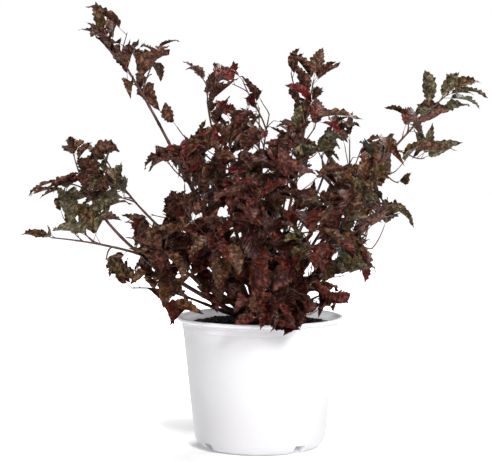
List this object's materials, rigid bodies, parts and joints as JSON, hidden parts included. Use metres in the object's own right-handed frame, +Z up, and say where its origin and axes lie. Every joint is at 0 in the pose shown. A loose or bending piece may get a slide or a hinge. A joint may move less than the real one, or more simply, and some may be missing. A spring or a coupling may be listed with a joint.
{
  "type": "potted ninebark shrub",
  "caption": "Purple-leaved ninebark shrub with arching canes and lobed leaves, growing in soil in a round white nursery pot.",
  "frame": {"origin": "centre of the pot's flat underside, where it stands", "axes": "+Z up through the pot's axis, -Y the side that the picture shows, +X to the picture's right"},
  "size_m": [0.6557, 0.5305, 0.6142],
  "materials": {
    "pot": "satin",
    "soil": "matte",
    "bark": "matte",
    "leaves_bronze": "satin",
    "leaves_wine": "satin",
    "leaves_maroon": "satin",
    "leaves_olive": "satin",
    "leaves_purple": "satin"
  },
  "bodies": {
    "root": {"pot": "pot", "soil": "soil", "root_crown": "bark", "cane_upper_left": "bark", "leaves_upper_left": "leaves_bronze", "cane_centre_left_top": "bark", "leaves_centre_left_top": "leaves_wine", "cane_centre_top": "bark", "leaves_centre_top": "leaves_wine", "cane_right_centre_top": "bark", "leaves_right_centre_top": "leaves_wine", "cane_right_centre_side": "bark", "leaves_right_centre_side": "leaves_bronze", "cane_right_long": "bark", "leaves_right_long": "leaves_bronze", "cane_right_mid": "bark", "leaves_right_mid": "leaves_maroon", "cane_right_lower": "bark", "leaves_right_lower": "leaves_maroon", "cane_left_low": "bark", "leaves_left_low": "leaves_maroon", "cane_left_mid": "bark", "leaves_left_mid": "leaves_bronze", "cane_left_upper": "bark", "leaves_left_upper": "leaves_olive", "cane_left_outer": "bark", "leaves_left_outer": "leaves_maroon", "cane_mid_left_high": "bark", "leaves_mid_left_high": "leaves_wine", "cane_mid_left": "bark", "leaves_mid_left": "leaves_purple", "cane_mid_left_low": "bark", "leaves_mid_left_low": "leaves_purple", "cane_centre_front": "bark", "leaves_centre_front": "leaves_wine", "cane_front_right": "bark", "leaves_front_right": "leaves_purple", "cane_mid_right": "bark", "leaves_mid_right": "leaves_maroon", "cane_centre_right": "bark", "leaves_centre_right": "leaves_maroon", "cane_back_left_high": "bark", "leaves_back_left_high": "leaves_bronze", "cane_back_centre": "bark", "leaves_back_centre": "leaves_wine", "cane_back_right_high": "bark", "leaves_back_right_high": "leaves_maroon", "cane_back_left_low": "bark", "leaves_back_left_low": "leaves_purple", "cane_back_right_low": "bark", "leaves_back_right_low": "leaves_maroon", "cane_back_low": "bark", "leaves_back_low": "leaves_purple", "leaves_front_left": "leaves_purple", "leaves_front_centre": "leaves_maroon", "leaves_front_low": "leaves_maroon", "leaves_right_low": "leaves_maroon", "leaves_back_side": "leaves_bronze"}
  },
  "joints": []
}
